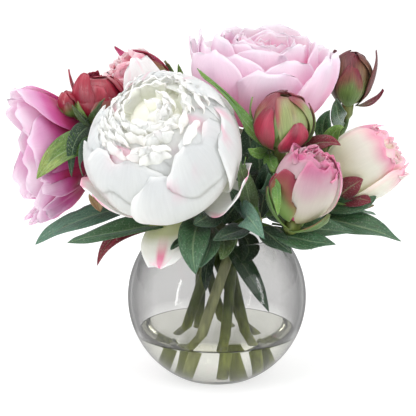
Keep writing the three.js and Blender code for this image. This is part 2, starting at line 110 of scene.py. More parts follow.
heads = {
    "white_peony": dict(
        base=(-36, -15, 170), axis=(-0.15, -0.74, 0.66), across=64, along=50, seed=11, core=(42, 80),
        rings=[
            ringOf(plainPetal, 356, 90, 14, -50, half=24, root=(15, -1), point=0.35, look=hangingPetal),
            ringOf(plainPetal, 304, 70, 56, -4, half=28, root=(15, -2), look=guardPetal),
            ringOf(plainPetal, 62, 75, 50, -10, half=27, root=(15, -2), look=guardPetal),
            ringOf(cupPetal, 20, 62, 82, 46, count=5, root=(17, 3)),
            ringOf(cupPetal, 56, 59, 92, 56, count=5, root=(19, 9)),
            ringOf(cupPetal, 10, 55, 99, 64, count=5, root=(24, 16)),
            ringOf(cupPetal, 50, 49, 99, 70, count=5, root=(22, 26)),
            ringOf(cupPetal, 186, 74, 82, 0, half=24, root=(17, 5), point=0.35),
        ],
        inner=strewnPetals(
            58, 38, middle=84, rise=24, reach=44, depth=14, close=64, half=13,
            ruffle=1.0, nick=0.02, lump=2.4, look=heartPetal,
        ),
        fill=(50, 6, 95),
        dent=(228, 0.17),
    ),
    "pink_peony_top": dict(
        base=(37, 38, 208), axis=(0.05, -0.16, 0.98), across=60, along=38, seed=23, core=(38, 54),
        rings=[
            ringOf(outerPetal, 0, 60, 63, 2, count=6, root=(15, 2), stray=0.1),
            ringOf(outerPetal, 30, 52, 71, 14, count=6, root=(17, 8), stray=0.14),
            ringOf(outerPetal, 8, 44, 76, 24, count=5, cover=0.9, root=(22, 15), nick=0, stray=0.2),
            ringOf(plainPetal, 50, 24, 72, 18, count=3, cover=0.56, root=(14, 38), frill=1.5),
        ],
        inner=[
            ringOf(broadPetal, 338, 63.5, 74, 8, half=34, root=(15, -1)),
            ringOf(broadPetal, 24, 64.5, 73, 10, half=34, root=(15, -2)),
            ringOf(broadPetal, 78, 62.5, 73, 4, half=28, root=(15, -1)),
            ringOf(broadPetal, 288, 62.5, 72, 4, half=28, root=(15, -1)),
            ringOf(broadPetal, 236, 56, 79, 8, half=21, root=(15, 1), round=0.14),
            ringOf(broadPetal, 40, 37, 76, 26, count=5, root=(22, 36)),
            ringOf(broadPetal, 70, 28, 76, 30, count=4, root=(15, 40)),
            ringOf(loosePetal, 15, 18, 75, 30, count=3, root=(7, 42)),
            ringOf(loosePetal, 60, 9, 72, 24, count=3, root=(2, 46)),
        ],
    ),
    "pink_peony_left": dict(
        base=(-102, 24, 191), axis=(-0.95, -0.24, -0.1), across=58, along=37, seed=37, core=(22, 34),
        rings=[
            ringOf(broadPetal, 15, 60, 63, -12, count=6, root=(8, 2)),
            ringOf(broadPetal, 42, 50, 68, -4, count=5, root=(9, 7)),
            ringOf(broadPetal, 20, 36, 61, 6, count=5, root=(11, 13)),
        ],
        inner=[
            ringOf(broadPetal, 33, 61, 58, -16, half=17, root=(8, 0)),
            ringOf(broadPetal, 352, 61, 55, -18, half=17, root=(8, 0)),
            ringOf(broadPetal, 12, 56, 67, -8, half=16, root=(8, 4)),
            ringOf(loosePetal, 5, 27, 56, 8, count=5, root=(9, 15)),
            ringOf(loosePetal, 35, 18, 52, 10, count=4, root=(6, 18)),
        ],
    ),
    "red_bud_left": dict(
        base=(-97, 8, 215), axis=(-0.02, -0.1, 0.98), across=22, along=20, seed=41, core=(18.5, 36),
        sprigs=[
            dict(base=(-118, -6, 223), axis=(-0.3, -0.12, 0.94), seed=5, rings=[
                ringOf(budPetal, 0, 8.5, 19, 68, count=3, root=(3, 0)),
                ringOf(sepalPetal, 20, 9.5, 12, 20, half=7, root=(3, -2), look=greenRedSepal),
                ringOf(sepalPetal, 290, 9.5, 12, 16, half=7, root=(3, -2), look=greenSepal),
            ]),
        ],
        rings=[
            ringOf(budPetal, 20, 21, 36, 76, count=3, root=(7, 2)),
            ringOf(sepalPetal, 350, 23, 33, 52, half=19, point=0.5),
            ringOf(sepalPetal, 110, 22.5, 36, 62, half=17, point=0.5),
            ringOf(sepalPetal, 215, 22.5, 39, 66, half=17, point=0.6),
            ringOf(sepalPetal, 262, 24.5, 43, -4, half=9, point=0.9),
            ringOf(sepalPetal, 20, 24, 24, 48, half=16, point=0.6, look=greenRedSepal),
            ringOf(sepalPetal, 305, 26, 25, 30, half=16, point=0.6, look=greenSepal),
            ringOf(sepalPetal, 275, 27, 22, 10, half=12, point=0.7, look=greenRedSepal),
            ringOf(sepalPetal, 80, 24, 22, 40, half=15, point=0.6, look=greenRedSepal),
            ringOf(sepalPetal, 332, 24.5, 44, 40, half=13, point=0.7),
        ],
    ),
    "opening_bud_left": dict(
        base=(-43, 56, 222), axis=(-0.74, -0.16, 0.64), across=23, along=30, seed=43, core=(15, 48),
        rings=[
            ringOf(plainPetal, 0, 23, 54, 18, count=4, root=(6, 1)),
            ringOf(plainPetal, 40, 19, 57, 26, count=4, root=(6, 6)),
            ringOf(sepalPetal, 158, 25.5, 54, 40, half=19, point=0.5, look=redSepal),
            ringOf(sepalPetal, 100, 25, 44, 30, half=14, look=greenRedSepal),
            ringOf(sepalPetal, 205, 26, 64, -6, half=8, point=0.9, look=redSepal),
            ringOf(sepalPetal, 232, 26, 50, 36, half=18, point=0.5, look=greenRedSepal),
        ],
        inner=domeRings((13, 7, 2), middle=48, rise=9, reach=20, depth=22, close=24),
    ),
    "centre_bud": dict(
        base=(50, -37, 200), axis=(0.08, -0.28, 0.95), across=23, along=25, seed=47, core=(19.5, 44),
        rings=[
            ringOf(budPetal, 25, 22.5, 45, 78, count=5, root=(7, 2)),
            ringOf(sepalPetal, 24, 24.5, 31, 30, half=17, look=roseSepal),
            ringOf(sepalPetal, 312, 24.5, 40, 52, half=13, look=roseSepal),
            ringOf(sepalPetal, 200, 25, 47, 84, half=15, look=darkSepal),
            ringOf(sepalPetal, 262, 26.5, 40, 14, half=9, look=greenSepal),
            ringOf(sepalPetal, 96, 25, 38, 42, half=12, look=greenRedSepal),
        ],
    ),
    "right_bud": dict(
        base=(113, 58, 222), axis=(0.08, -0.1, 0.98), across=21, along=25, seed=53, core=(17, 43),
        rings=[
            ringOf(budPetal, 10, 18.5, 46, 66, count=4, root=(7, 2)),
            ringOf(sepalPetal, 350, 20.5, 38, 46, half=14, look=greenRedSepal),
            ringOf(sepalPetal, 288, 21, 49, 24, half=14, point=0.8, look=darkSepal),
            ringOf(sepalPetal, 70, 21.5, 50, 20, half=15, point=0.8, look=darkSepal),
            ringOf(sepalPetal, 170, 20.5, 44, 40, half=14, look=greenRedSepal),
            ringOf(sepalPetal, 92, 30, 16, -16, half=8, point=0.9, look=redSepal),
        ],
    ),
    "pink_bud": dict(
        base=(61, -59, 145), axis=(0.28, -0.26, 0.92), across=25, along=31, seed=59, core=(17, 52),
        rings=[
            ringOf(openPetal, 12, 25, 58, 44, root=(6, 1), ruffle=0.7),
            ringOf(openPetal, 58, 21.5, 60, 48, root=(6, 6), ruffle=0.8),
            ringOf(sepalPetal, 296, 27, 45, 30, half=19, point=0.6, look=greenRedSepal),
            ringOf(sepalPetal, 272, 28, 38, 14, half=14, look=redSepal),
        ],
        inner=domeRings((14, 8, 3), middle=50, rise=11, reach=20, depth=24, close=30),
    ),
    "blush_bud": dict(
        base=(90, -6, 162), axis=(0.83, -0.14, 0.54), across=30, along=35, seed=61, core=(21, 56),
        rings=[
            ringOf(openPetal, 30, 30, 63, 38, root=(7, 1), ruffle=0.6),
            ringOf(openPetal, 62, 25.5, 66, 34, root=(7, 6), ruffle=0.8, nick=0.05),
        ],
        inner=domeRings((17, 10, 4), middle=54, rise=12, reach=24, depth=24, close=24),
    ),
    "back_peony": dict(
        base=(-29, 58, 156), axis=(-0.1, 0.86, 0.5), across=53, along=42, seed=67, core=(34, 68),
        rings=[
            ringOf(plainPetal, 0, 53, 66, 14, count=5, root=(14, 3)),
            ringOf(plainPetal, 34, 46.5, 77, 34, count=5, root=(16, 9)),
            ringOf(plainPetal, 10, 40, 83, 46, count=4, cover=0.83, root=(20, 15)),
        ],
        inner=strewnPetals(
            34, 36, middle=60, rise=26, reach=44, depth=17, close=54, half=17, look=heartPetal,
        ),
        fill=(41, 4, 72),
    ),
    "back_blush_bud": dict(
        base=(50, 62, 148), axis=(0.36, 0.78, 0.5), across=27, along=33, seed=71, core=(18, 54),
        rings=[
            ringOf(openPetal, 0, 27, 61, 38, root=(6, 1), ruffle=0.6),
            ringOf(openPetal, 40, 22.5, 63, 34, root=(6, 6), ruffle=0.8, nick=0.04),
        ],
        inner=domeRings((15, 8, 3), middle=52, rise=11, reach=22, depth=24, close=24),
    ),
}


# A leaf that bends toward one point on the way to its tip. It starts at a share of the stem, or of the branch
# that on gives, or at a root of its own.
def leaf(via, tip, half, face, look="dark", **start):
    return dict(via=via, tip=tip, half=half, face=face, look=look, **start)


stems = {
    "stem_white_peony": dict(
        slot=229, head="white_peony", via=((-20, -14, 148),),
        sepals=ringOf(calyxSepal, 30, 40, -2, -66, count=4, half=14),
        leaves=[
            leaf((-84, -44, 132), (-119, -60, 127), 12, (0, -0.5, 1), at=0.6),
            leaf((-88, -30, 146), (-97, -42, 104), 7, (0, -1, 0.3), "red", at=0.56),
            leaf((-24, -76, 138), (-17, -86, 108), 13, (0, -1, 0.5), at=0.6),
            leaf((26, -38, 100), (41, -50, 68), 8, (0.3, -1, 0.3), at=0.5),
            leaf((-3, -74, 126), (-14, -80, 112), 9, (-0.2, -1, 0.6), at=0.56),
            leaf((-30, -62, 128), (-37, -66, 123), 5, (0, -0.4, 1), "deep", at=0.56),
            leaf((-12, -40, 98), (-9, -38, 82), 5, (0.4, -1, 0), "deep", at=0.5),
            leaf((-1, -62, 152), (-19, -60, 142), 13, (0.1, -1, 0.3), "deep", at=0.62),
            leaf((12, -58, 128), (2, -70, 116), 10, (0.1, -1, 0.4), "olive", at=0.58),
        ],
    ),
    "stem_pink_bud": dict(
        slot=300, head="pink_bud", via=((34, -34, 134),), stalk=paleStalk,
        sepals=ringOf(calyxSepal, 30, 30, 24, -8, count=3, half=12),
        branches=[
            dict(at=0.66, via=((36, -34, 160),), head="centre_bud"),
        ],
        leaves=[
            leaf((14, -82, 168), (36, -90, 137), 11, (-0.3, -1, 0.2), "blue", at=0.62),
            leaf((62, -76, 131), (92, -78, 130), 12, (0, -0.7, 1), at=0.7),
            leaf((78, -52, 136), (112, -48, 133), 10, (0, -0.7, 1), root=(44, -40, 138)),
            leaf((16, -72, 229), (-16, -46, 264), 6.5, (0.5, -1, 0.2), "light", on=0, at=0.72),
            leaf((46, -94, 186), (46, -92, 156), 5, (-0.4, -1, 0), "light", on=0, at=0.55),
            leaf((33, -34, 117), (19, -36, 104), 9, (0.2, -1, 0.4), "deep", at=0.5),
            leaf((62, -66, 134), (74, -70, 124), 6, (0, -1, 0.6), "deep", at=0.6),
            leaf((25, -80, 173), (15, -76, 196), 8, (0.3, -1, 0.1), "olive", at=0.62),
            leaf((16, -68, 178), (20, -64, 197), 5, (0.5, -1, 0.1), "light", at=0.7),
            leaf((18, -70, 138), (-4, -72, 132), 9, (0, -0.8, 0.7), "deep", at=0.58),
            leaf((40, -40, 172), (38, -66, 192), 9, (-0.2, -1, 0.2), "deep", at=0.66),
            leaf((83, -48, 212), (97, -52, 204), 7, (0.1, -1, 0.8), "red", on=0, at=0.7),
            leaf((32, -56, 195), (24, -56, 202), 5, (0.2, -1, 0.2), "light", root=(42, -36, 198)),
            leaf((39, -62, 189), (50, -60, 183), 6, (0, -1, 0.2), "light", root=(42, -36, 197)),
            leaf((22, -52, 176), (8, -54, 190), 8, (0.1, -1, 0), "deep", root=(36, -34, 178)),
            leaf((30, 2, 190), (24, -6, 216), 13, (0, -1, 0), "deep", root=(32, 8, 156)),
            leaf((38, -20, 178), (30, -16, 206), 12, (0, -1, 0.1), root=(33, -22, 150)),
            leaf((46, -56, 164), (40, -64, 184), 9, (0, -1, 0), root=(34, -34, 160)),
            leaf((20, -60, 156), (10, -64, 172), 9, (0.2, -1, 0), "deep", root=(32, -34, 150)),
            leaf((44, -66, 132), (58, -76, 122), 9, (0, -1, 0.7), "deep", root=(32, -34, 136)),
            leaf((46, 4, 146), (68, 6, 126), 11, (0, -1, 0.3), "deep", root=(32, -10, 152)),
            leaf((16, 4, 148), (4, 4, 127), 10, (0, -1, 0.3), "deep", root=(24, -8, 152)),
        ],
    ),
    "stem_blush_bud": dict(
        slot=345, head="blush_bud", via=((58, -8, 146),),
        sepals=ringOf(calyxSepal, 10, 36, 28, -10, count=3, half=14),
        branches=[
            dict(at=0.72, via=((84, 26, 172), (106, 48, 198)), head="right_bud"),
        ],
        leaves=[
            leaf((106, -44, 143), (147, -50, 126), 15, (0, -0.5, 1), at=0.6),
            leaf((112, -40, 150), (128, -36, 160), 10, (0, -1, 0.6), at=0.72),
            leaf((98, 4, 214), (99, 8, 234), 8, (0, -1, 0.2), on=0, at=0.7),
            leaf((91, -18, 216), (102, -24, 214), 7, (0, -1, 0.5), "light", at=0.8),
            leaf((72, -10, 196), (60, -20, 176), 10, (0, -1, 0.2), "deep", on=0, at=0.3),
            leaf((108, -36, 172), (117, -34, 177), 8, (0, -1, 0.3), "red", root=(97, -12, 155)),
            leaf((113, -40, 161), (124, -38, 156), 8, (0, -1, 0.6), "red", root=(95, -12, 150)),
            leaf((82, -6, 214), (92, -8, 226), 7, (0, -1, 0.2), root=(92, 10, 190)),
        ],
    ),
    "stem_pink_peony_top": dict(
        slot=36, head="pink_peony_top", via=((30, 18, 160),),
        sepals=ringOf(calyxSepal, 0, 38, -1, -66, count=4, half=13),
        leaves=[
            leaf((104, 30, 138), (138, 44, 128), 14, (0, 0, 1), at=0.55),
        ],
    ),
    "stem_back_peony": dict(
        slot=88, head="back_peony", via=((-12, 34, 140),),
        sepals=ringOf(calyxSepal, 0, 36, -1, -66, count=3, half=13),
        branches=[
            dict(
                at=0.62, via=((26, 46, 136),), head="back_blush_bud",
                sepals=ringOf(calyxSepal, 30, 32, 26, -8, count=2, half=13),
            ),
        ],
        leaves=[
            leaf((64, 74, 128), (84, 104, 118), 13, (0, 0.3, 1), on=0, at=0.4),
            leaf((-8, 80, 122), (-4, 108, 100), 13, (0, 0.8, 0.8), at=0.66),
        ],
    ),
    "stem_opening_bud": dict(
        slot=139, head="opening_bud_left", via=((-24, 30, 150), (-28, 44, 196)),
        sepals=ringOf(calyxSepal, 150, 28, 26, -8, count=2, half=12),
        leaves=[
            leaf((-62, 66, 136), (-92, 86, 122), 14, (0, 0.3, 1), at=0.5),
            leaf((-58, 82, 200), (-94, 80, 204), 10, (0, 0.6, 1), at=0.76),
            leaf((-28, 26, 244), (-32, 8, 262), 4, (0, -1, 0.2), "light", root=(-28, 44, 205)),
            leaf((-20, 30, 236), (-23, 14, 252), 4, (0, -1, 0.2), "light", root=(-26, 44, 205)),
        ],
    ),
    "stem_pink_peony_left": dict(
        slot=186, head="pink_peony_left", via=((-46, 16, 146),),
        sepals=ringOf(calyxSepal, 10, 34, 0, -66, count=3, half=13),
        branches=[
            dict(at=0.72, via=((-76, 8, 176), (-90, 10, 196)), head="red_bud_left"),
        ],
        leaves=[
            leaf((-110, -34, 148), (-146, -48, 123), 13, (0, -0.6, 1), "blue", at=0.66),
            leaf((-124, -46, 207), (-143, -52, 177), 11, (-0.2, -1, 0.2), "pale", on=0, at=0.6),
            leaf((-104, -52, 205), (-106, -54, 180), 7, (0.2, -1, 0), on=0, at=0.66),
            leaf((-110, -8, 224), (-121, -8, 237), 6, (0, -1, 0.1), "red", root=(-96, 2, 212)),
            leaf((-100, -24, 220), (-86, -22, 234), 8, (0, -1, 0), "olive", root=(-98, 0, 211)),
            leaf((-112, -20, 214), (-118, -16, 230), 6, (0, -1, 0), "olive", root=(-99, 0, 211)),
            leaf((-112, -6, 213), (-119, -7, 226), 4, (0, -1, 0), "olive", root=(-98, 0, 210)),
            leaf((-127, -26, 212), (-119, -34, 178), 6, (-0.3, -1, 0), "deep", root=(-97, 0, 211)),
            leaf((-100, -38, 164), (-94, -40, 148), 9, (0, -1, 0.2), "tan", root=(-88, -8, 160)),
        ],
    ),
}

# How the petals of each head look.
headLook = dict(
    slot="white_petals", thickness=0.5, roughness=0.6, soft=0.7, sheen=0.1, shine=0.3, streak=0.05,
    crinkle=0.18, wander=0.15, vary=0.02, edge="f79bb8", edgeFrom=0.6, edgeShare=0.0, heart="f6f3e2",
    stops=((0, "dadeb0"), (0.35, "e3e4dc"), (1, "e5e6e6")),
)
pinkStops = ((0, "d83a80"), (0.35, "ea6ea8"), (0.56, "f0a8cc"), (0.8, "ebc9de"), (1, "e6d8e6"))
roseStops = ((0, "8c1040"), (0.54, "a01648"), (0.7, "c44088"), (0.85, "d88cbc"), (1, "e0bcd6"))
blushStops = ((0, "cfd896"), (0.4, "eff0ca"), (0.76, "f6f3e2"), (1, "f090ae"))
bulbStops = ((0, "67883a"), (0.35, "84a056"), (0.62, "949c64"), (0.8, "9c5c50"), (1, "8a2c3c"))
budBlush = dict(slot="blush_petals", stops=blushStops, heart="f3a6bc", edge="f08aa6", edgeShare=0.4)
# glow is painted light: a faint emission in the petals' own colour that lifts the shade in their crevices.
headLooks = {
    "white_peony": dict(edgeFrom=0.74, edgeShare=0.7, heart="f0efe4", glow=0.07),
    "pink_peony_top": dict(slot="pink_petals", stops=pinkStops, heart="ee7fb2", glow=0.08),
    "pink_peony_left": dict(slot="rose_petals", stops=roseStops, heart="b8306c"),
    "red_bud_left": dict(
        slot="red_bud_petals", stops=((0, "5a7a30"), (0.3, "70542e"), (0.45, "8c1a30"), (1, "a81f38")),
        heart="7c1a30", roughness=0.28, soft=0.05, shine=0.6, sheen=0.05, streak=0.4,
        edge="d8707f", edgeShare=0.45, edgeFrom=0.5,
    ),
    "opening_bud_left": dict(
        slot="blush_petals", stops=((0, "d84868"), (0.55, "e66c8a"), (0.85, "f09aac"), (1, "f4ccd2")),
        heart="ea86a0",
    ),
    "centre_bud": dict(
        slot="green_bud_petals", stops=bulbStops, heart="9aa066", roughness=0.33, soft=0.1, shine=0.6,
        sheen=0.05, streak=0.35, crinkle=0.4, edge="9c3448", edgeShare=0.7, wander=0.45,
    ),
    "right_bud": dict(
        slot="green_bud_petals", stops=((0, "4a6a2c"), (0.35, "6c8044"), (0.6, "86664a"), (1, "702030")),
        heart="8c8c5c", roughness=0.4, soft=0.1, shine=0.45, sheen=0.05, streak=0.6, crinkle=0.4,
        wander=0.35,
    ),
    # painted shade: the pink bud's colours are painted darker overall for the shade it sits in; its
    # green-cream base and pink tips are its own colour
    "pink_bud": dict(
        slot="pink_petals", stops=((0, "b8b87c"), (0.5, "d6c8b8"), (0.78, "d2a2ae"), (1, "ca6e92")),
        heart="d83a80", edge="d83a78", edgeShare=0.6, edgeFrom=0.45, wander=0.25,
    ),
    "blush_bud": budBlush,
    "back_peony": dict(edgeFrom=0.72, edgeShare=0.7, heart="f0efe4", glow=0.07),
    "back_blush_bud": budBlush,
}

leafLooks = {
    "dark": ((0, "405e30"), (0.5, "3a603c"), (1, "4a7052")),
    "blue": ((0, "3c5a42"), (0.5, "4a705c"), (1, "5f8670")),
    "light": ((0, "4c6e2c"), (0.5, "5f8c3a"), (1, "78a044")),
    "pale": ((0, "4c6a30"), (0.5, "5f7e38"), (0.8, "94a65a"), (1, "7c9a48")),
    "red": ((0, "503c24"), (0.5, "701c2c"), (1, "861c34")),
    "deep": ((0, "2e3e26"), (0.5, "28422c"), (1, "345238")),
    "olive": ((0, "4c5c2a"), (0.5, "43582c"), (1, "506a36")),
    "tan": ((0, "7c8044"), (0.5, "b09a6c"), (1, "a07c58")),
}
sepalLook = dict(
    roughness=0.45, soft=0.05, sheen=0.15, shine=0.4, streak=0.45, crinkle=0.6, wander=0.3, vary=0.1,
    edge="8c2438", edgeFrom=0.45, edgeShare=0.6, stops=((0, "7f9a48"), (0.5, "6d8f48"), (1, "5f8440")),
)
leafShape = dict(
    stalk=0.1, stalkWidth=0.1, tipWidth=0.004, fold=16, roll=0.1, edgeWave=0.13, lump=1.2, clear=3,
    thickness=0.7, grid=(28, 10),
)
stemSize = dict(
    radius=4.4, branch=2.8, waist=13, waistHeight=95, reach=36, footHeight=12, rimPass=126,
    steps=60, branchSteps=30, sides=14,
)
calyx = dict(flare=2.5, sunk=0.06, below=4.5, colour="7d8a4a")


# Colours are written as they look on a screen.
def tone(code):
    parts = [int(code[i:i + 2], 16) / 255 for i in (0, 2, 4)]
    return Vector([c / 12.92 if c < 0.04 else ((c + 0.055) / 1.055) ** 2.4 for c in parts])


def smooth(low, high, value):
    share = min(1, max(0, (value - low) / (high - low)))
    return share * share * (3 - 2 * share)


def alongStops(stops, value):
    for (start, first), (end, last) in zip(stops, stops[1:]):
        if value <= end:
            return tone(first).lerp(tone(last), smooth(start, end, value))
    return tone(stops[-1][1])


def newMaterial(name, **sockets):
    material = bpy.data.materials.new(name)
    material.use_nodes = True
    tree = material.node_tree
    surface = tree.nodes["Principled BSDF"]
    for label, value in sockets.items():
        surface.inputs[label.replace("_", " ")].default_value = value
    return material, tree, surface


def addNode(tree, kind, inputs=(), **settings):
    node = tree.nodes.new("ShaderNode" + kind)
    for label, value in settings.items():
        setattr(node, label, value)
    for label, value in dict(inputs).items():
        if isinstance(value, bpy.types.NodeSocket):
            tree.links.new(value, node.inputs[label])
        else:
            node.inputs[label].default_value = value
    return node


def ranged(tree, value, low, high, toLow=0.0, toHigh=1.0):
    span = {"Value": value, "From Min": low, "From Max": high, "To Min": toLow, "To Max": toHigh}
    return addNode(tree, "MapRange", span).outputs[0]


def computed(tree, operation, *values):
    return addNode(tree, "Math", dict(enumerate(values)), operation=operation).outputs[0]


def mixed(tree, share, first, second, blend="MIX"):
    parts = {"Fac": share, "Color1": first, "Color2": second}
    return addNode(tree, "MixRGB", parts, blend_type=blend).outputs[0]


def noiseAt(tree, place, scale, detail):
    return addNode(tree, "TexNoise", {"Vector": place, "Scale": scale, "Detail": detail}).outputs["Fac"]


def addBump(tree, surface, height, strength, distance):
    bump = addNode(tree, "Bump", {"Height": height, "Strength": strength, "Distance": distance})
    tree.links.new(bump.outputs[0], surface.inputs["Normal"])


def stretchedNoise(tree, scale, detail, stretch):
    uv = addNode(tree, "UVMap", uv_map="along")
    mapping = addNode(tree, "Mapping", {"Vector": uv.outputs["UV"], "Scale": stretch})
    return noiseAt(tree, mapping.outputs[0], scale, detail)


def softened(tree, value, low, high):
    return ranged(tree, value, 0.3, 0.7, low, high)


def multiplied(tree, colour, value):
    return mixed(tree, 1.0, colour, value, "MULTIPLY")


# Petals and sepals: the colour is painted on their points, and fine streaks run from root to tip. They glow
# faintly in that colour: painted light that lifts the shade between petals.
def petalMaterial(name, look):
    material, tree, surface = newMaterial(
        name,
        Roughness=look["roughness"],
        Subsurface_Weight=look["soft"],
        Subsurface_Scale=0.008,
        Emission_Strength=look.get("glow", 0.05),
        Subsurface_Radius=(1.0, 0.9, 0.85),
        Sheen_Weight=look["sheen"],
        Sheen_Roughness=0.4,
        Specular_IOR_Level=look["shine"],
    )
    painted = addNode(tree, "Attribute", attribute_name="tint").outputs["Color"]
    streaks = stretchedNoise(tree, 4.0, 4.0, (1.2, 9.0, 1.0))
    shade = softened(tree, streaks, 1 - look["streak"], 1.0)
    tinted = multiplied(tree, painted, shade)
    tree.links.new(tinted, surface.inputs["Base Color"])
    # painted light: the petals and sepals emit their own colour, which lifts the shade between them
    tree.links.new(tinted, surface.inputs["Emission Color"])
    creases = stretchedNoise(tree, 5.0, 5.0, (0.8, 5.0, 1.0))
    addBump(tree, surface, creases, look["crinkle"], 0.0012)
    return material


leafVeins = dict(
    rib=(0.02, 0.1), count=13.0, slant=4.5, width=0.09, depth=0.35, share=0.3, colour=(0.42, 0.55, 0.3, 1.0),
)


# Leaves: a pale midrib and side veins that slant to the tip.
def leafMaterial():
    material, tree, surface = newMaterial(
        "leaf", Sheen_Weight=0.25, Sheen_Roughness=0.35, Specular_IOR_Level=0.45,
        Subsurface_Weight=0.08, Subsurface_Scale=0.002,
    )
    surface.inputs["Sheen Tint"].default_value = (0.75, 0.85, 1.0, 1.0)
    painted = addNode(tree, "Attribute", attribute_name="tint").outputs["Color"]
    uv = addNode(tree, "UVMap", uv_map="along")
    parts = addNode(tree, "SeparateXYZ", {"Vector": uv.outputs["UV"]})
    across = computed(tree, "MULTIPLY_ADD", parts.outputs["Y"], 2.0, -1.0)
    away = computed(tree, "ABSOLUTE", across)
    rib = ranged(tree, away, *leafVeins["rib"], 1.0, 0.0)
    slant = computed(tree, "MULTIPLY_ADD", away, -leafVeins["slant"], 0.0)
    along = computed(tree, "MULTIPLY_ADD", parts.outputs["X"], leafVeins["count"], slant)
    wave = computed(tree, "PINGPONG", along, 0.5)
    vein = ranged(tree, wave, 0.0, leafVeins["width"], leafVeins["depth"], 0.0)
    both = computed(tree, "MAXIMUM", rib, vein)
    patches = stretchedNoise(tree, 6.0, 5.0, (2.0, 2.0, 1.0))
    tree.links.new(softened(tree, patches, 0.28, 0.56), surface.inputs["Roughness"])
    mottle = softened(tree, patches, 0.6, 1.18)
    blade = multiplied(tree, painted, mottle)
    share = computed(tree, "MULTIPLY", both, leafVeins["share"])
    veined = mixed(tree, share, blade, leafVeins["colour"])
    # The fine grain bumps the leaf, and its pale specks are painted highlights.
    place = addNode(tree, "TexCoord").outputs["Object"]
    weave = noiseAt(tree, place, 820.0, 2.0)
    paintedGlints = ranged(tree, weave, 0.56, 0.76, 0.0, 0.34)
    glintedBlade = mixed(tree, paintedGlints, veined, (0.5, 0.58, 0.46, 1.0))
    tree.links.new(glintedBlade, surface.inputs["Base Color"])
    puffed = stretchedNoise(tree, 9.0, 3.0, (2.0, 1.0, 1.0))
    rough = computed(tree, "MULTIPLY_ADD", weave, 0.6, puffed)
    height = computed(tree, "SUBTRACT", rough, both)
    addBump(tree, surface, height, 0.45, 0.001)
    return material


def stalkMaterial():
    material, tree, surface = newMaterial("stalk", Roughness=0.45, Specular_IOR_Level=0.4)
    place = addNode(tree, "TexCoord").outputs["Object"]
    mapping = addNode(tree, "Mapping", {"Vector": place, "Scale": (170.0, 170.0, 16.0)})
    grain = noiseAt(tree, mapping.outputs[0], 1.0, 4.0)
    painted = addNode(tree, "Attribute", attribute_name="tint").outputs["Color"]
    grained = multiplied(tree, painted, softened(tree, grain, 0.45, 1.4))
    tree.links.new(grained, surface.inputs["Base Color"])
    addBump(tree, surface, grain, 0.3, 0.0008)
    return material


# Turns a finished mesh into a piece that stands for a node.
def makePiece(bm, name, node, materials):
    mesh = bpy.data.meshes.new(name)
    bm.to_mesh(mesh)
    bm.free()
    for material in materials:
        mesh.materials.append(material)
    piece = bpy.data.objects.new(name, mesh)
    bpy.context.collection.objects.link(piece)
    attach(piece, "root")
    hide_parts(node)
    return piece


# A mesh of grids with a painted colour and a map from root to tip.
class Sheet:
    def __init__(self):
        self.bm = bmesh.new()
        self.tint = self.bm.verts.layers.float_color.new("tint")
        self.uv = self.bm.loops.layers.uv.new("along")

    # Adds a grid moved onto pointAt(u, v), with u from 0 to 1 and v from -1 to 1.
    def add(self, pointAt, colourAt, size, slotNumber=0):
        made = bmesh.ops.create_grid(self.bm, x_segments=size[0], y_segments=size[1], size=0.5)["verts"]
        place = {vert: (vert.co.x + 0.5, vert.co.y * 2) for vert in made}
        for vert, (u, v) in place.items():
            vert.co = Vector(pointAt(u, v)) * mm
            vert[self.tint] = (*colourAt(u, v), 1.0)
        for face in {face for vert in made for face in vert.link_faces}:
            face.smooth = True
            face.material_index = slotNumber
            for loop in face.loops:
                u, v = place[loop.vert]
                loop[self.uv].uv = (u, v / 2 + 0.5)

    def finish(self, name, node, materials, thickness=0.0):
        piece = makePiece(self.bm, name, node, materials)
        if thickness:
            shell = piece.modifiers.new("thickness", "SOLIDIFY")
            shell.thickness = thickness * mm
            shell.offset = 0


# The plain petal, which each ring and each kind of petal changes.
petalShape = dict(
    count=1, overlap=0.25, neck=0.1, round=0.06, tilt=0.085, cup=0.0006, frill=0, waves=2.5, point=0,
    lobe=0.9, ruffle=0.8, nick=0.02, fold=0.5, lump=1.6, stray=0, cover=0.95, grid=(18, 16),
)
petalJitter = dict(turn=0.07, length=0.02, strayLength=0.15, strayLean=0.4)
sprigGrid = (12, 8)
coreShape = dict(width=0.86, height=0.92, segments=(20, 12))
dentShape = dict(spread=32, near=12, far=40)  # degrees to the side, then distances from the axis


def makeDraw(seed):
    state = seed

    def draw():
        nonlocal state
        state = (state * 1664525 + 1013904223) % 2 ** 32
        return state / 2 ** 32

    return draw


# How a ring's petals lean at root and tip, and their length, from how wide and tall the ring is.
def arcOf(ring):
    tip = radians(ring["close"])
    root = ring["root"]
    slope = (ring["tall"] - root[1]) / (ring["wide"] - root[0])
    widest = 1 if ring["close"] > 0 else cos(tip)
    lean0 = pi - asin((slope * widest - sin(tip)) / hypot(1, slope)) - atan(slope)
    bend = (ring["tall"] - root[1]) / (sin(lean0) + sin(tip))
    return dict(lean0=lean0, lean1=-tip, length=bend * (lean0 + tip))


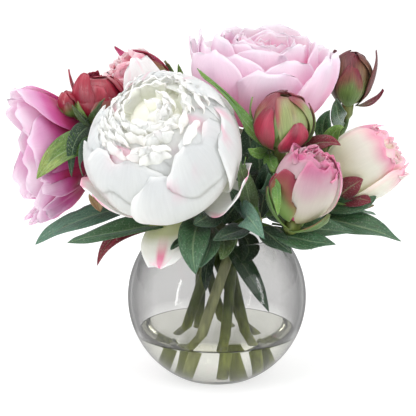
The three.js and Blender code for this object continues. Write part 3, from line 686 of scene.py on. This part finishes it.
def petalPoint(petal, u, v):
    phase = petal["phase"]
    lobe = (1 - 0.97 * max(0, (u - 0.5) / 0.5) ** 2.4) ** 0.45
    share = v * (1 - petal["lobe"] * (1 - lobe))
    rim = max(u ** 5, u * abs(v) ** 4)
    notches = 1 + sin(2.7 * pi * share + 2 * phase) + 0.35 * sin(5.5 * pi * share + phase)
    nick = petal["nick"] * u ** 5 * notches
    reach = u * (1 - petal["round"] * abs(share) ** 3.4 * u) - nick
    lean = petal["lean0"] + (petal["lean1"] - petal["lean0"]) * reach
    bend = petal["length"] / (petal["lean0"] - petal["lean1"])
    widening = petal["neck"] + (1 - petal["neck"]) * sin(min(1, reach / 0.7) * pi / 2) ** 1.2
    narrowing = 1 - petal["point"] * max(0, (reach - 0.4) / 0.6) ** 1.5
    across = share * petal["half"] * widening * max(0.02, narrowing)
    frill = petal["frill"] * reach ** 2 * sin(petal["waves"] * pi * share + phase)
    ruffle = petal["ruffle"] * rim * sin(3.4 * pi * share + 2 * u * pi + 3 * phase)
    fold = petal["fold"] * u * sin(2.2 * pi * share + 1.7 * phase)
    lump = petal["lump"] * u * noise.noise(Vector((2.4 * u, 2.1 * share, 5 * phase)))
    lift = petal["tilt"] * across + petal["cup"] * across ** 2 * reach + frill + ruffle + fold + lump
    bowl = petal["root"][0] + bend * (cos(lean) - cos(petal["lean0"]))
    out = bowl - cos(lean) * lift
    up = petal["root"][1] + bend * (sin(petal["lean0"]) - sin(lean)) + sin(lean) * lift
    turn = petal["turn"] + max(-1.4, min(1.4, across / max(bowl, 1)))
    return Vector((out * cos(turn), out * sin(turn), up))


def petalsOf(rings, seed):
    draw = makeDraw(seed)
    petals = []
    for ring in rings:
        ring = {**petalShape, **ring}
        arc = arcOf(ring)
        step = 360 / ring["count"]
        half = (ring["cover"] + petalShape["overlap"]) * pi * ring["wide"] / ring["count"]
        for i in range(ring["count"]):
            petal = {"half": half, **ring, **arc}
            jitter = (draw() * 2 - 1) * step * petalJitter["turn"] if ring["count"] > 1 else 0
            petal["turn"] = radians(ring["start"] + i * step + jitter)
            petal["length"] = arc["length"] * (1 + (draw() * 2 - 1) * petalJitter["length"])
            petal["phase"] = draw() * 2 * pi
            petal["turn"] += petal["stray"] * radians(step) * sin(23 * petal["phase"])
            petal["length"] *= 1 + petalJitter["strayLength"] * petal["stray"] * sin(31 * petal["phase"])
            petal["lean1"] += petalJitter["strayLean"] * petal["stray"] * sin(17 * petal["phase"])
            petals.append(petal)
    return petals


# Presses a head in on one side of its axis.
def dented(point, dent):
    middle, depth = dent
    off = (degrees(atan2(point.y, point.x)) - middle + 180) % 360 - 180
    away = smooth(dentShape["near"], dentShape["far"], hypot(point.x, point.y))
    press = 1 - depth * exp(-(off / dentShape["spread"]) ** 2) * away
    return Vector((point.x * press, point.y * press, point.z))


# The frame of a head: its first direction is the side nearest the table and the front.
def headFrame(head):
    axis = Vector(head["axis"]).normalized()
    toward = Vector((0, -0.6, -0.8))
    first = (toward - axis * toward.dot(axis)).normalized()
    second = axis.cross(first)
    return Matrix.Translation(head["base"]) @ Matrix((first, second, axis)).transposed().to_4x4()


# The colour of a point on a petal: from root to tip, with stray patches of another colour at its edge.
def petalColour(look, petal, u, v):
    phase = petal["phase"]
    drift = noise.noise(Vector((1.5 * u, 1.3 * v, 7 * phase)))
    colour = alongStops(look["stops"], min(1, max(0, u + look["wander"] * drift)))
    if "stripe" in look:
        middle, width, stripe = look["stripe"]
        within = smooth(width, 0.4 * width, abs(v - middle))
        colour = colour.lerp(tone(stripe), within * smooth(look["stripeFrom"], 0.85, u))
    rim = max(smooth(0.72, 1.0, u), smooth(0.7, 1.0, abs(v)) * smooth(0.2, 0.6, u))
    blotch = 0.5 + noise.noise(Vector((2 * v, 2 * u, 3 + 9 * phase)))
    patch = smooth(look["edgeFrom"], look["edgeFrom"] + 0.25, blotch)
    colour = colour.lerp(tone(look["edge"]), rim * patch * look["edgeShare"])
    return colour * (1 + look["vary"] * sin(13 * phase))


def buildHead(name, head, look):
    frameOf = headFrame(head)
    sheet = Sheet()
    dent = head.get("dent", (0, 0))
    petals = petalsOf(head["rings"], head["seed"]) + petalsOf(head.get("inner", []), head["seed"] + 5)
    for petal in petals:
        sheet.add(
            lambda u, v: frameOf @ dented(petalPoint(petal, u, v), dent),
            lambda u, v: petalColour({**look, **petal.get("look", {})}, petal, u, v),
            petal["grid"],
        )
    for sprig in head.get("sprigs", []):
        sprigFrame = headFrame(sprig)
        for petal in petalsOf(sprig["rings"], sprig["seed"]):
            sheet.add(
                lambda u, v: sprigFrame @ petalPoint(petal, u, v),
                lambda u, v: petalColour({**look, **petal.get("look", {})}, petal, u, v),
                sprigGrid,
            )
    material = petalMaterial(name + "_petal", look)
    sheet.finish(name + "_petals", name, [material], look["thickness"])
    core = Sheet()
    around, upward = coreShape["segments"]
    ball = bmesh.ops.create_uvsphere(core.bm, u_segments=around, v_segments=upward, radius=1)["verts"]
    plain = (head["core"][0] * coreShape["width"], 0, head["core"][1] * coreShape["height"])
    radius, low, high = head.get("fill", plain)
    for vert in ball:
        x, y, z = vert.co
        vert[core.tint] = (*tone(look["heart"]), 1.0)
        place = Vector((x * radius, y * radius, (low + high) / 2 + z * (high - low) / 2))
        vert.co = frameOf @ dented(place, dent) * mm
    for face in core.bm.faces:
        face.smooth = True
    core.finish(name + "_core", name, [material])
    print("head", name, len(petals), "petals")


def splinePoint(points, share):
    place = share * (len(points) - 1)
    index = min(int(place), len(points) - 2)
    w = place - index
    p1, p2 = points[index], points[index + 1]
    p0 = points[index - 1] if index > 0 else 2 * p1 - p2
    p3 = points[index + 2] if index + 2 < len(points) else 2 * p2 - p1
    t1, t2 = (p2 - p0) / 2, (p3 - p1) / 2
    return p1 + t1 * w + (3 * (p2 - p1) - 2 * t1 - t2) * w ** 2 + (2 * (p1 - p2) + t1 + t2) * w ** 3


def intoHead(head):
    return [Vector(head["base"]) + Vector(head["axis"]) * way for way in (-14, 5)]


def stemPoints(spec):
    slot = radians(spec["slot"])
    waist, foot, middle = stemSize["waist"], stemSize["footHeight"], stemSize["waistHeight"]
    run = (stemSize["reach"] ** 2 - waist ** 2) ** 0.5 / (middle - foot)
    points = []
    for z in (foot, (foot + middle) / 2, middle, stemSize["rimPass"]):
        drop = z - middle
        x = cos(slot) * waist - sin(slot) * run * drop
        y = sin(slot) * waist + cos(slot) * run * drop
        points.append(Vector((x, y, z)))
    return points + [Vector(p) for p in spec["via"]] + intoHead(heads[spec["head"]])


# Moves a point out of the room that the heads take.
def pushClear(point, margin):
    for head in heads.values():
        axis = Vector(head["axis"]).normalized()
        centre = Vector(head["base"]) + axis * head["along"]
        away = point - centre
        along = away.dot(axis)
        across = (away - axis * along).length
        depth = hypot(along / (head["along"] + margin), across / (head["across"] + margin))
        if depth < 1:
            point = centre + away / max(depth, 0.05)
    return point


# A leaf's half width as a share: a narrow stalk, a full blade and a sharp tip.
def leafWidth(u):
    stalk = leafShape["stalk"]
    along = (u - stalk) / (1 - stalk)
    if along <= 0:
        return leafShape["stalkWidth"]
    least = leafShape["stalkWidth"] * (1 - smooth(0.9, 1, u)) + leafShape["tipWidth"]
    return max(least, sin(pi * along ** 0.8) ** 0.85 if along < 1 else 0)


def leafPoint(blade, root, u, v):
    via, tip = Vector(blade["via"]), Vector(blade["tip"])
    middle = root * (1 - u) ** 2 + via * 2 * u * (1 - u) + tip * u ** 2
    forward = ((via - root) * (1 - u) + (tip - via) * u).normalized()
    side = forward.cross(Vector(blade["face"])).normalized()
    facing = side.cross(forward).normalized()
    across = v * blade["half"] * leafWidth(u)
    fold = radians(leafShape["fold"])
    seed = blade["half"] + blade.get("at", 0.3)
    wave = leafShape["roll"] * blade["half"] * v * sin(2.5 * pi * u) * u
    edge = sin(9 * u + 3 * v + 20 * seed) * smooth(0.1, 0.4, u)
    wave += leafShape["edgeWave"] * blade["half"] * abs(v) ** 2 * edge
    wave += leafShape["lump"] * noise.noise(Vector((4 * u, 2 * v, 11 * seed)))
    wave *= min(1, 2 * leafWidth(u))
    point = middle + side * across * cos(fold) + facing * (abs(across) * sin(fold) + wave)
    return pushClear(point, leafShape["clear"] * min(1, 3 * u))


def leafColour(blade, u, v):
    look = leafLooks[blade["look"]]
    seed = blade["half"] + blade.get("at", 0.3)
    colour = alongStops(look, min(1, max(0, u + 0.25 * noise.noise(Vector((2 * u, 2 * v, 5 * seed))))))
    return colour * (1 - 0.12 * abs(v))


def addTube(sheet, points, radius, steps, sides, colourAt):
    centres = [splinePoint(points, i / steps) for i in range(steps + 1)]
    turned = []
    side = Vector((1, 0, 0))
    for i, centre in enumerate(centres):
        forward = (centres[min(i + 1, steps)] - centres[max(i - 1, 0)]).normalized()
        side = (side - forward * side.dot(forward)).normalized()
        turned.append((side.copy(), forward.cross(side)))

    def pointAt(u, v):
        i = round(u * steps)
        turn = v * pi
        grown = radius * (1 + 0.1 * noise.noise(Vector((9 * u, cos(turn), radius + points[0].x))))
        first, second = turned[i]
        return centres[i] + first * grown * cos(turn) + second * grown * sin(turn)

    sheet.add(pointAt, colourAt, (steps, sides))


def addTurned(sheet, profile, frameOf, sides, colour):
    last = len(profile) - 1

    def pointAt(u, v):
        r, z = profile[round(u * last)]
        return frameOf @ Vector((r * cos(v * pi), r * sin(v * pi), z))

    sheet.add(pointAt, lambda u, v: colour, (last, sides))


def closeUp(sheet):
    bmesh.ops.remove_doubles(sheet.bm, verts=sheet.bm.verts, dist=mergeDistance)
    bmesh.ops.holes_fill(sheet.bm, edges=[edge for edge in sheet.bm.edges if edge.is_boundary], sides=0)
    bmesh.ops.recalc_face_normals(sheet.bm, faces=sheet.bm.faces)


def buildStem(name, spec):
    stalks = Sheet()
    blades = Sheet()
    main = stemPoints(spec)
    curves = [main]
    owners = [(spec, stemSize["radius"])]
    for branch in spec.get("branches", []):
        via = [Vector(p) for p in branch["via"]]
        curves.append([splinePoint(main, branch["at"]), *via, *intoHead(heads[branch["head"]])])
        owners.append((branch, stemSize["branch"]))
    for curve, (owner, radius) in zip(curves, owners):
        look = owner.get("stalk", spec.get("stalk", stalkLook))
        steps = stemSize["steps" if curve is main else "branchSteps"]
        addTube(stalks, curve, radius, steps, stemSize["sides"], lambda u, v: alongStops(look, u))
        head = heads[owner["head"]]
        frameOf = headFrame(head)
        foot = -calyx["sunk"] * head["core"][1] - calyx["below"]
        width = radius + calyx["flare"]
        cup = [(0, foot - 6), (0.6 * width, foot - 4.6), (0.95 * width, foot - 1.5), (width, foot)]
        addTurned(stalks, [*cup, (width, 1), (0, 3)], frameOf, stemSize["sides"], tone(calyx["colour"]))
        rings = [dict(owner["sepals"], root=(2, foot))] if "sepals" in owner else []
        for sepal in petalsOf(rings, head["seed"] + 1):
            blades.add(
                lambda u, v: frameOf @ petalPoint(sepal, u, v),
                lambda u, v: petalColour(sepalLook, sepal, u, v),
                sepal["grid"],
                1,
            )
    for blade in spec["leaves"]:
        if "root" in blade:
            root = Vector(blade["root"])
        else:  # on a branch by its number, or on the main stem
            root = splinePoint(curves[blade.get("on", -1) + 1], blade["at"])
        blades.add(
            lambda u, v: leafPoint(blade, root, u, v),
            lambda u, v: leafColour(blade, u, v),
            leafShape["grid"],
        )
    closeUp(stalks)
    stalks.finish(name + "_stalks", name, [stalkSurface])
    surfaces = [leafSurface, sepalSurface]
    blades.finish(name + "_leaves", name, surfaces, leafShape["thickness"])
    print("stem", name)


def globeArc(radius, start, end, steps):
    centre = (vase["radius"] ** 2 - vase["foot"] ** 2) ** 0.5
    first, last = asin((start - centre) / radius), asin((end - centre) / radius)
    turns = [first + (last - first) * i / steps for i in range(steps + 1)]
    return [(radius * cos(turn), centre + radius * sin(turn)) for turn in turns]


def spunPiece(name, profile, node, material):
    bm = bmesh.new()
    verts = [bm.verts.new(Vector((r, 0, z)) * mm) for r, z in profile]
    edges = [bm.edges.new(pair) for pair in zip(verts, verts[1:])]
    bmesh.ops.spin(
        bm, geom=verts + edges, axis=(0, 0, 1), cent=(0, 0, 0), steps=vase["sides"], angle=2 * pi,
    )
    bmesh.ops.remove_doubles(bm, verts=bm.verts, dist=mergeDistance)
    bmesh.ops.recalc_face_normals(bm, faces=bm.faces)
    if bm.calc_volume(signed=True) < 0:
        bmesh.ops.reverse_faces(bm, faces=bm.faces)
    for face in bm.faces:
        face.smooth = True
    makePiece(bm, name, node, [material])


# Clear all through, and greyer where it is seen edge on, which is painted shade; it is also painted lighter
# low down than higher up, which is painted light.
def clearMaterial(name, look):
    material, tree, surface = newMaterial(
        name, Roughness=0.0, IOR=look["ior"], Transmission_Weight=1.0, Specular_IOR_Level=0.0,
    )
    surface.inputs["Specular Tint"].default_value = (0.3, 0.3, 0.3, 1.0)
    spot = addNode(tree, "TexCoord").outputs["Object"]
    place = addNode(tree, "SeparateXYZ", {"Vector": spot})
    # painted light: the glass takes the lighter low colour below 36 mm and the grey tint above 48 mm
    height = ranged(tree, place.outputs["Z"], 0.036, 0.048)
    weight = ranged(tree, height, 0.0, 1.0, look["lowEdge"])
    # painted shade: seen edge on, the surface takes the edge colour and lets less light through, a little
    # less so low down
    edgeOn = addNode(tree, "LayerWeight", {"Blend": 0.5}).outputs["Facing"]
    facing = computed(tree, "MULTIPLY", edgeOn, weight)
    share = ranged(tree, facing, look["edgeFrom"], 0.8)
    middle = mixed(tree, height, (*look["low"], 1), (*look["tint"], 1))
    colour = mixed(tree, share, middle, (*look["edge"], 1))
    # painted shade: a dark line painted where the water meets the glass
    if "shore" in look:  # a dark line where the water meets the glass
        radius, top, shade = look["shore"]
        flat = addNode(tree, "VectorMath", {0: spot, 1: (1, 1, 0)}, operation="MULTIPLY").outputs[0]
        away = addNode(tree, "VectorMath", {0: flat}, operation="LENGTH").outputs["Value"]
        near = ranged(tree, away, (radius - 1.4) * mm, (radius - 0.8) * mm)
        high = ranged(tree, place.outputs["Z"], (top - 1.1) * mm, (top - 0.7) * mm)
        line = computed(tree, "MULTIPLY", near, high)
        colour = mixed(tree, line, colour, (*shade, 1))
    tree.links.new(colour, surface.inputs["Base Color"])
    clear = ranged(tree, facing, 0.6, 1.0, 1.0, look["edgeClear"])
    tree.links.new(clear, surface.inputs["Transmission Weight"])
    return material


vase = dict(
    radius=75, foot=33, wall=3, floor=5, rim=120.6, lip=(1.35, 1.2), steps=48, sides=128,
    # painted light: the glass is painted lighter low down (low) than higher up (tint)
    ior=1.5, tint=(0.68, 0.678, 0.674), low=(0.95, 0.95, 0.94),
    # painted shade: near black and barely clear where the glass is seen edge on
    edge=(0.02, 0.02, 0.02), edgeFrom=0.3, edgeClear=0.1, lowEdge=0.84,
)
inner = vase["radius"] - vase["wall"]
outside = globeArc(vase["radius"], 0, vase["rim"], vase["steps"])
inside = globeArc(inner, vase["rim"], vase["floor"], vase["steps"])
lipRadius = (outside[-1][0] + inside[0][0]) / 2
lipWidth, lipHeight = vase["lip"]
lipTurns = (0.3, 0.9, pi / 2, pi - 0.9, pi - 0.3)
lip = [(lipRadius + lipWidth * cos(turn), vase["rim"] + lipHeight * sin(turn)) for turn in lipTurns]
glass = clearMaterial("vase_glass", vase)
spunPiece("vase_glass", [(0, 0), *outside, *lip, *inside, (0, vase["floor"])], "vase", glass)

water = dict(
    top=39.4, steps=30,
    overlap=0.15,  # into the glass, so that no air shows between them
    ior=1.33, tint=(1.0, 1.0, 0.93), low=(1.0, 1.0, 0.93),
    # painted shade: greyer where the water is seen edge on
    edge=(0.8, 0.82, 0.78), edgeFrom=0.7, edgeClear=1.0, lowEdge=1.0, shoreShade=(0.14, 0.15, 0.13),
)
bottom = vase["floor"] - water["overlap"]
waterSide = globeArc(inner + water["overlap"], bottom, water["top"], water["steps"])
shore = waterSide[-1][0]
surface = [(shore - inward, water["top"]) for inward in (1, 2, 3, 4)]
# painted shade: the dark line at the water's shore
waterLook = clearMaterial("vase_water", {**water, "shore": (shore, water["top"], water["shoreShade"])})
spunPiece("vase_water", [(0, bottom), *waterSide, *surface, (0, water["top"])], "water", waterLook)
print("vase and water done")

leafSurface = leafMaterial()
stalkSurface = stalkMaterial()
sepalSurface = petalMaterial("sepal", sepalLook)

for name, head in heads.items():
    buildHead(name, head, {**headLook, **headLooks[name]})
for name, spec in stems.items():
    buildStem(name, spec)

studio = dict(floorSize=25, floorDrop=0.5, floorShade=0.5, floorGlow=0.66, world=0.86, bounces=30)
lights = {
    "key": dict(place=(-0.7, -0.9, 1.5), aim=(0, 0, 0.18), size=(0.9, 0.9), power=6),
    "top": dict(place=(0, -0.1, 1.6), aim=(0, 0, 0.2), size=(1.0, 1.0), power=6),
    "fill": dict(place=(1.2, -0.9, 0.7), aim=(0, 0, 0.18), size=(0.6, 0.6), power=2.5),
    "strip_left": dict(place=(-0.75, -0.6, 0.3), aim=(0, 0, 0.1), size=(0.05, 0.5), power=1.5),
    "strip_right": dict(place=(0.8, -0.5, 0.3), aim=(0, 0, 0.1), size=(0.05, 0.5), power=1.2),
}


def buildFloor():
    bm = bmesh.new()
    bmesh.ops.create_grid(bm, x_segments=1, y_segments=1, size=studio["floorSize"])
    mesh = bpy.data.meshes.new("floor")
    bm.to_mesh(mesh)
    bm.free()
    floor = bpy.data.objects.new("floor", mesh)
    floor.location.z = -studio["floorDrop"] * mm
    bpy.context.collection.objects.link(floor)
    material, tree, surface = newMaterial("floor", Roughness=0.9, Emission_Strength=studio["floorGlow"])
    surface.inputs["Base Color"].default_value = (*[studio["floorShade"]] * 3, 1.0)
    surface.inputs["Emission Color"].default_value = (1.0, 1.0, 1.0, 1.0)
    mesh.materials.append(material)


def addLight(name, place, aim, size, power):
    data = bpy.data.lights.new(name, "AREA")
    data.shape = "RECTANGLE"
    data.size, data.size_y = size
    data.energy = power
    lamp = bpy.data.objects.new(name, data)
    lamp.location = place
    lamp.rotation_euler = (Vector(aim) - Vector(place)).to_track_quat("-Z", "Y").to_euler()
    bpy.context.collection.objects.link(lamp)


buildFloor()
world = bpy.data.worlds.new("studio")
world.use_nodes = True
background = world.node_tree.nodes["Background"]
background.inputs["Color"].default_value = (1.0, 1.0, 1.0, 1.0)
background.inputs["Strength"].default_value = studio["world"]
scene = bpy.context.scene
scene.world = world
scene.view_settings.view_transform = "Standard"
scene.cycles.max_bounces = studio["bounces"]  # the glass and the water are many surfaces deep
scene.cycles.transmission_bounces = studio["bounces"]
scene.cycles.diffuse_bounces = 8
for name, light in lights.items():
    addLight(name, **light)
print("floor and lights done")

# The photo's camera, with lengths in millimetres and the elevation in degrees.
view = dict(distance=1150, elevation=11.5, aim=(-7.5, 0, 143), frameWidth=346.7, sensor=36)
camera = bpy.data.objects.new("camera", bpy.data.cameras.new("camera"))
camera.data.sensor_width = view["sensor"]
camera.data.lens = view["sensor"] * view["distance"] / view["frameWidth"]
camera.data.clip_end = 20
tilt = radians(view["elevation"])
camera.location = (Vector(view["aim"]) + Vector((0, -cos(tilt), sin(tilt))) * view["distance"]) * mm
camera.rotation_euler = (pi / 2 - tilt, 0, 0)
bpy.context.collection.objects.link(camera)
scene.camera = camera

bpy.context.view_layer.update()
